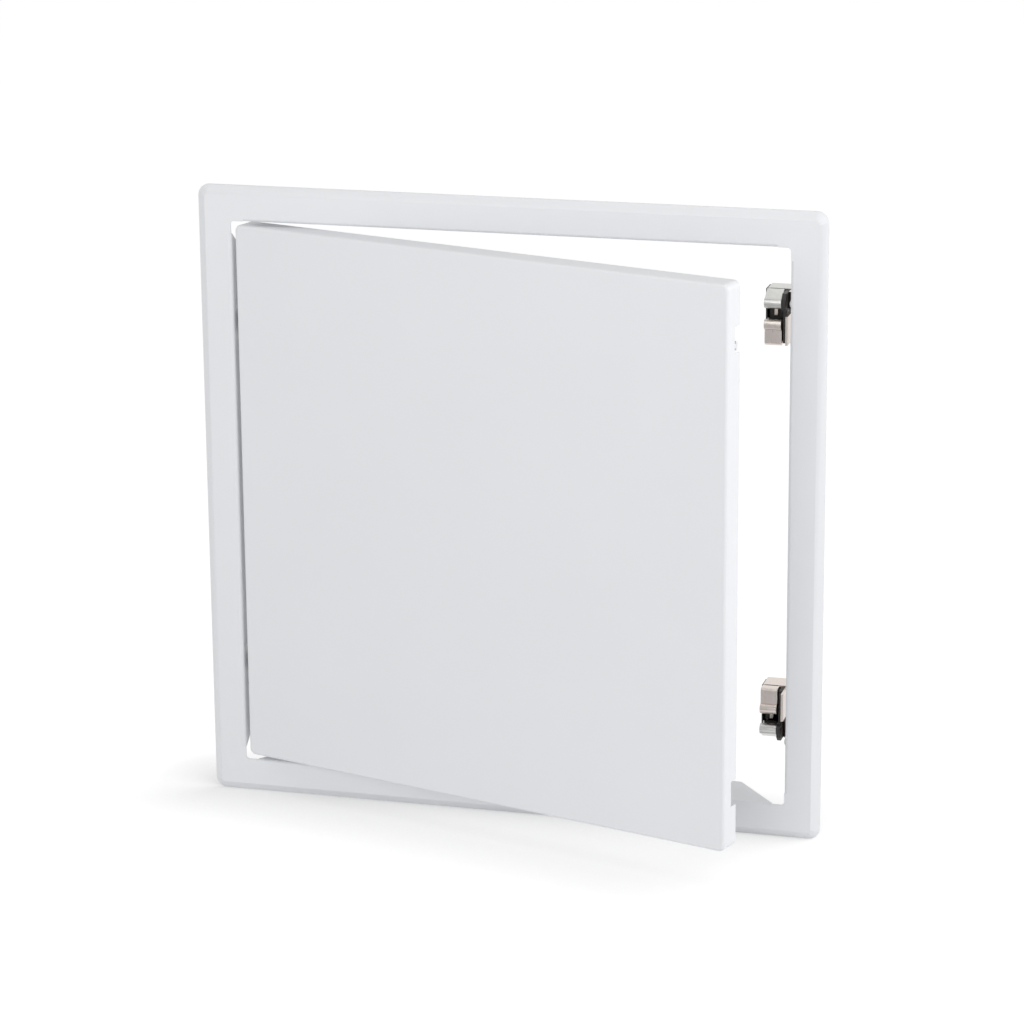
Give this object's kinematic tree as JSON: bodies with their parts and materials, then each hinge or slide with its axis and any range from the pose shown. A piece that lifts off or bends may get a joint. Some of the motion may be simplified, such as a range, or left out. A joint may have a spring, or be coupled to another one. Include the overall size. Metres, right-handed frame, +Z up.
{
  "type": "ceiling access panel",
  "caption": "Flush sheet-steel access panel: square frame with a bevelled flange, a pan door on concealed hinges and push-to-open latches, for a service opening.",
  "frame": {"origin": "centre of the opening on the plane of the ceiling, where the flange's lip rests", "axes": "+Y into the void behind the ceiling, +X from the hinges to the latches, +Z up as pictured; the front faces -Y"},
  "size_m": [0.45, 0.1632, 0.45],
  "materials": {
    "white_coat": "white satin powder coat",
    "zinc_steel": "zinc-plated steel, satin",
    "nickel_steel": "nickel-plated steel, bright",
    "black_plastic": "black moulded plastic",
    "spring_steel": "bright spring wire"
  },
  "bodies": {
    "frame": {"top_rail": "white_coat", "bottom_rail": "white_coat", "hinge_jamb": "white_coat", "latch_jamb": "white_coat", "upper_hinge_bracket": "zinc_steel", "lower_hinge_bracket": "zinc_steel", "hinge_rivets": "zinc_steel", "upper_latch_bracket": "nickel_steel", "lower_latch_bracket": "nickel_steel", "upper_latch_cover": "zinc_steel", "lower_latch_cover": "zinc_steel", "latch_rivets": "zinc_steel", "upper_latch_housing": "black_plastic", "lower_latch_housing": "black_plastic", "upper_latch_spring": "spring_steel", "lower_latch_spring": "spring_steel"},
    "door": {"door_panel": "white_coat", "upper_hinge_leaf": "zinc_steel", "lower_hinge_leaf": "zinc_steel", "upper_hinge_pin": "zinc_steel", "lower_hinge_pin": "zinc_steel", "upper_striker": "white_coat", "lower_striker": "white_coat"},
    "upper_carriage": {"upper_latch_carriage": "black_plastic", "upper_push_pad": "nickel_steel", "upper_jaw_pins": "zinc_steel"},
    "upper_outer_jaw": {"upper_outer_jaw": "zinc_steel"},
    "upper_inner_jaw": {"upper_inner_jaw": "nickel_steel"},
    "lower_carriage": {"lower_latch_carriage": "black_plastic", "lower_push_pad": "nickel_steel", "lower_jaw_pins": "zinc_steel"},
    "lower_outer_jaw": {"lower_outer_jaw": "zinc_steel"},
    "lower_inner_jaw": {"lower_inner_jaw": "nickel_steel"}
  },
  "joints": [
    {"name": "door_swing", "type": "hinge", "parent": "frame", "child": "door", "pos_m": [-0.19, -0.001, 0], "axis": [0, 0, -1], "range_deg": [-16.3, 83.7]},
    {"name": "upper_latch_push", "type": "slide", "parent": "frame", "child": "upper_carriage", "axis": [0, 1, 0], "range_m": [0, 0.003], "stiffness_N_per_m": 400, "springref_m": -0.004, "deforming": ["upper_latch_spring"]},
    {"name": "upper_outer_jaw_pivot", "type": "hinge", "parent": "upper_carriage", "child": "upper_outer_jaw", "pos_m": [0.1824, 0.0355, 0.156], "axis": [1, 0, 0], "range_deg": [0, 8.6]},
    {"name": "upper_inner_jaw_pivot", "type": "hinge", "parent": "upper_carriage", "child": "upper_inner_jaw", "pos_m": [0.1824, 0.0355, 0.138], "axis": [-1, 0, 0], "range_deg": [0, 8.6]},
    {"name": "lower_latch_push", "type": "slide", "parent": "frame", "child": "lower_carriage", "axis": [0, 1, 0], "range_m": [0, 0.003], "stiffness_N_per_m": 400, "springref_m": -0.004, "deforming": ["lower_latch_spring"]},
    {"name": "lower_outer_jaw_pivot", "type": "hinge", "parent": "lower_carriage", "child": "lower_outer_jaw", "pos_m": [0.1824, 0.0355, -0.156], "axis": [-1, 0, 0], "range_deg": [0, 8.6]},
    {"name": "lower_inner_jaw_pivot", "type": "hinge", "parent": "lower_carriage", "child": "lower_inner_jaw", "pos_m": [0.1824, 0.0355, -0.138], "axis": [1, 0, 0], "range_deg": [0, 8.6]}
  ],
  "couplings": [
    {"joint": "upper_outer_jaw_pivot", "follows": "upper_latch_push", "rad_per_m": 49.45},
    {"joint": "upper_inner_jaw_pivot", "follows": "upper_latch_push", "rad_per_m": 49.45},
    {"joint": "lower_outer_jaw_pivot", "follows": "lower_latch_push", "rad_per_m": 49.45},
    {"joint": "lower_inner_jaw_pivot", "follows": "lower_latch_push", "rad_per_m": 49.45}
  ]
}
